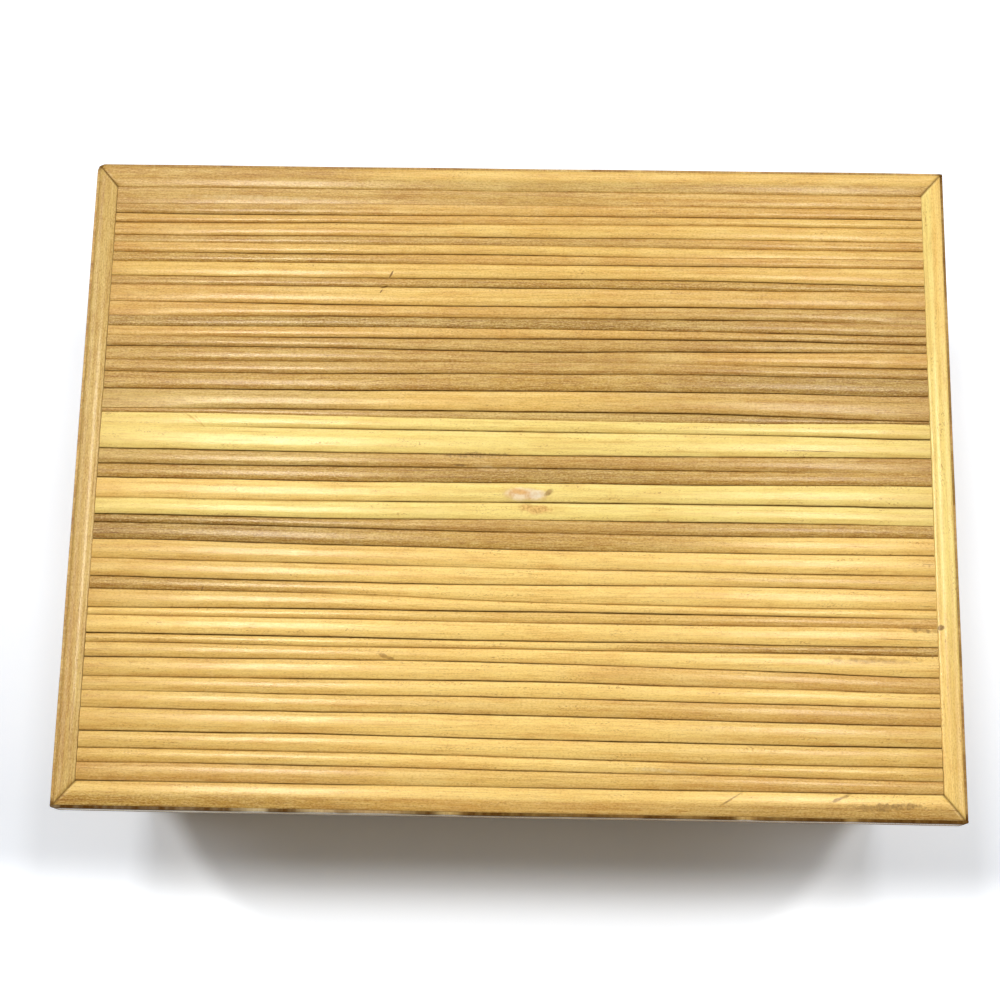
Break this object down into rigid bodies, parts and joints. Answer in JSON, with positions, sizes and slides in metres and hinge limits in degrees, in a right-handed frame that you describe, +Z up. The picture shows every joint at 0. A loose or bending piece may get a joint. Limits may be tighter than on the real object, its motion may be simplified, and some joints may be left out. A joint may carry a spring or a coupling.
{
  "type": "hinged keepsake box",
  "caption": "Low rectangular wooden box with an overhanging lid on two rear hinges, clad outside in mitred borders and parallel slats of lacquered split cane.",
  "frame": {"origin": "middle of the underside of the box, on the surface it rests on", "axes": "+X to the right along the slats, +Y towards the hinges at the back, +Z up"},
  "size_m": [0.305, 0.2314, 0.1122],
  "materials": {
    "golden_cane": "satin lacquer",
    "brown_cane": "satin lacquer",
    "pale_cane": "satin lacquer",
    "plain_wood": "bare, sanded",
    "brass": "aged"
  },
  "bodies": {
    "box": {"back_border": "golden_cane", "back_slats": "golden_cane", "back_wall": "plain_wood", "base_board": "plain_wood", "box_hinge_screws": "brass", "front_border": "golden_cane", "front_slats": "golden_cane", "front_wall": "plain_wood", "left_border": "golden_cane", "left_hinge_box_leaf": "brass", "left_hinge_pin": "brass", "left_slats": "golden_cane", "left_wall": "plain_wood", "right_border": "golden_cane", "right_hinge_box_leaf": "brass", "right_hinge_pin": "brass", "right_slats": "golden_cane", "right_wall": "plain_wood"},
    "lid": {"left_hinge_lid_leaf": "brass", "lid_board": "plain_wood", "lid_border_back": "golden_cane", "lid_border_front": "golden_cane", "lid_border_left": "golden_cane", "lid_border_right": "golden_cane", "lid_edge_back": "golden_cane", "lid_edge_front": "golden_cane", "lid_edge_left": "golden_cane", "lid_edge_right": "golden_cane", "lid_hinge_screws": "brass", "lid_slat_01": "brown_cane", "lid_slat_02": "golden_cane", "lid_slat_03": "golden_cane", "lid_slat_04": "golden_cane", "lid_slat_05": "brown_cane", "lid_slat_06": "brown_cane", "lid_slat_07": "brown_cane", "lid_slat_08": "brown_cane", "lid_slat_09": "brown_cane", "lid_slat_10": "brown_cane", "lid_slat_11": "pale_cane", "lid_slat_12": "brown_cane", "lid_slat_13": "pale_cane", "lid_slat_14": "brown_cane", "lid_slat_15": "golden_cane", "lid_slat_16": "golden_cane", "lid_slat_17": "golden_cane", "lid_slat_18": "golden_cane", "lid_slat_19": "golden_cane", "lid_slat_20": "golden_cane", "lid_slat_21": "golden_cane", "right_hinge_lid_leaf": "brass"}
  },
  "joints": [
    {"name": "lid_hinge", "type": "hinge", "parent": "box", "child": "lid", "pos_m": [0, 0.10545, 0.1], "axis": [-1, 0, 0], "range_deg": [0, 96]}
  ]
}
